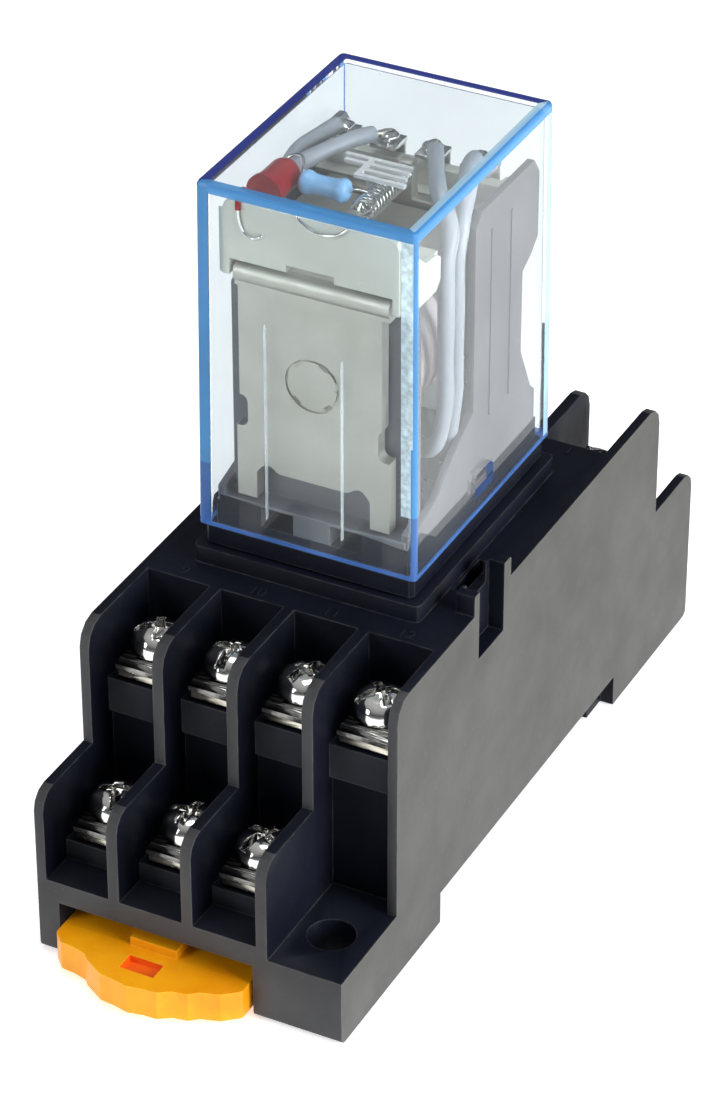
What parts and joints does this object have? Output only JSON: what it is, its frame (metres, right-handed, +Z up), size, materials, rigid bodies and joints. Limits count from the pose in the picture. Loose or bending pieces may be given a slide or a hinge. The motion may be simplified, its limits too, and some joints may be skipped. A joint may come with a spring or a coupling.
{
  "type": "plug-in relay in rail socket",
  "caption": "Plug-in control relay with a clear tinted cover, seated in a black rail-mount screw-terminal socket with stepped terminal tiers and a sliding orange rail clip.",
  "frame": {"origin": "middle of the socket's flat underside where it lies on the mounting rail", "axes": "+Z up out of the rail, the way the relay unplugs; +Y along the socket, away from the rail clip; +X across the socket"},
  "size_m": [0.0306, 0.0806, 0.0683],
  "materials": {
    "black_nylon": "moulded black thermoplastic, fine satin grain, paler worn edges",
    "orange_nylon": "moulded orange nylon, semi-gloss",
    "nickel_steel": "nickel-plated steel, bright satin",
    "tinned_brass": "tinned brass strip",
    "silver_plate": "silver-plated copper alloy",
    "blue_clear": "clear polycarbonate with a light blue tint",
    "grey_phenolic": "moulded grey thermoset",
    "cream_nylon": "moulded cream plastic",
    "coil_tape": "copper winding under a translucent pinkish tape",
    "red_lens": "red lens of an indicator lamp",
    "blue_coating": "light blue resistor coating"
  },
  "bodies": {
    "socket": {"socket_housing": "black_nylon", "socket_base": "black_nylon", "socket_contact_01": "tinned_brass", "socket_contact_02": "tinned_brass", "socket_contact_03": "tinned_brass", "socket_contact_04": "tinned_brass", "socket_contact_05": "tinned_brass", "socket_contact_06": "tinned_brass", "socket_contact_07": "tinned_brass", "socket_contact_08": "tinned_brass", "socket_contact_09": "tinned_brass", "socket_contact_10": "tinned_brass", "socket_contact_11": "tinned_brass", "socket_contact_12": "tinned_brass", "socket_contact_13": "tinned_brass", "socket_contact_14": "tinned_brass"},
    "clip": {"rail_clip": "orange_nylon"},
    "relay": {"relay_cover": "blue_clear", "relay_base": "grey_phenolic", "indicator_plate": "cream_nylon", "yoke": "nickel_steel", "bobbin": "cream_nylon", "coil_winding": "coil_tape", "return_spring": "nickel_steel", "indicator_led": "red_lens", "led_resistor": "blue_coating", "nc_1": "silver_plate", "nc_2": "silver_plate", "nc_3": "silver_plate", "nc_4": "silver_plate", "no_1": "silver_plate", "no_2": "silver_plate", "no_3": "silver_plate", "no_4": "silver_plate", "com_1": "silver_plate", "com_2": "silver_plate", "com_3": "silver_plate", "com_4": "silver_plate", "coil_1": "silver_plate", "coil_2": "silver_plate"},
    "armature": {"armature": "nickel_steel", "contact_card": "cream_nylon", "moving_contact_1": "silver_plate", "moving_contact_2": "silver_plate", "moving_contact_3": "silver_plate", "moving_contact_4": "silver_plate"},
    "screw_01": {"terminal_screw_01": "nickel_steel"},
    "screw_02": {"terminal_screw_02": "nickel_steel"},
    "screw_03": {"terminal_screw_03": "nickel_steel"},
    "screw_04": {"terminal_screw_04": "nickel_steel"},
    "screw_05": {"terminal_screw_05": "nickel_steel"},
    "screw_06": {"terminal_screw_06": "nickel_steel"},
    "screw_07": {"terminal_screw_07": "nickel_steel"},
    "screw_08": {"terminal_screw_08": "nickel_steel"},
    "screw_09": {"terminal_screw_09": "nickel_steel"},
    "screw_10": {"terminal_screw_10": "nickel_steel"},
    "screw_11": {"terminal_screw_11": "nickel_steel"},
    "screw_12": {"terminal_screw_12": "nickel_steel"},
    "screw_13": {"terminal_screw_13": "nickel_steel"},
    "screw_14": {"terminal_screw_14": "nickel_steel"}
  },
  "joints": [
    {"name": "clip_slide", "type": "slide", "parent": "socket", "child": "clip", "axis": [0, -1, 0], "range_m": [0, 0.004], "stiffness_N_per_m": 1500, "springref_m": -0.0015},
    {"name": "relay_unplug", "type": "slide", "parent": "socket", "child": "relay", "axis": [0, 0, 1], "range_m": [0, 0.012]},
    {"name": "armature_pull", "type": "hinge", "parent": "relay", "child": "armature", "pos_m": [0, 0.00185, 0.0567], "axis": [-1, 0, 0], "range_deg": [0, 4], "stiffness_Nm_per_rad": 0.03, "springref_deg": -6.88, "deforming": ["return_spring"]},
    {"name": "screw_01_lift", "type": "slide", "parent": "socket", "child": "screw_01", "axis": [0, 0, 1], "range_m": [0, 0.0018]},
    {"name": "screw_02_lift", "type": "slide", "parent": "socket", "child": "screw_02", "axis": [0, 0, 1], "range_m": [0, 0.0018]},
    {"name": "screw_03_lift", "type": "slide", "parent": "socket", "child": "screw_03", "axis": [0, 0, 1], "range_m": [0, 0.0018]},
    {"name": "screw_04_lift", "type": "slide", "parent": "socket", "child": "screw_04", "axis": [0, 0, 1], "range_m": [0, 0.0018]},
    {"name": "screw_05_lift", "type": "slide", "parent": "socket", "child": "screw_05", "axis": [0, 0, 1], "range_m": [0, 0.0018]},
    {"name": "screw_06_lift", "type": "slide", "parent": "socket", "child": "screw_06", "axis": [0, 0, 1], "range_m": [0, 0.0018]},
    {"name": "screw_07_lift", "type": "slide", "parent": "socket", "child": "screw_07", "axis": [0, 0, 1], "range_m": [0, 0.0018]},
    {"name": "screw_08_lift", "type": "slide", "parent": "socket", "child": "screw_08", "axis": [0, 0, 1], "range_m": [0, 0.0018]},
    {"name": "screw_09_lift", "type": "slide", "parent": "socket", "child": "screw_09", "axis": [0, 0, 1], "range_m": [0, 0.0018]},
    {"name": "screw_10_lift", "type": "slide", "parent": "socket", "child": "screw_10", "axis": [0, 0, 1], "range_m": [0, 0.0018]},
    {"name": "screw_11_lift", "type": "slide", "parent": "socket", "child": "screw_11", "axis": [0, 0, 1], "range_m": [0, 0.0018]},
    {"name": "screw_12_lift", "type": "slide", "parent": "socket", "child": "screw_12", "axis": [0, 0, 1], "range_m": [0, 0.0018]},
    {"name": "screw_13_lift", "type": "slide", "parent": "socket", "child": "screw_13", "axis": [0, 0, 1], "range_m": [0, 0.0018]},
    {"name": "screw_14_lift", "type": "slide", "parent": "socket", "child": "screw_14", "axis": [0, 0, 1], "range_m": [0, 0.0018]}
  ]
}
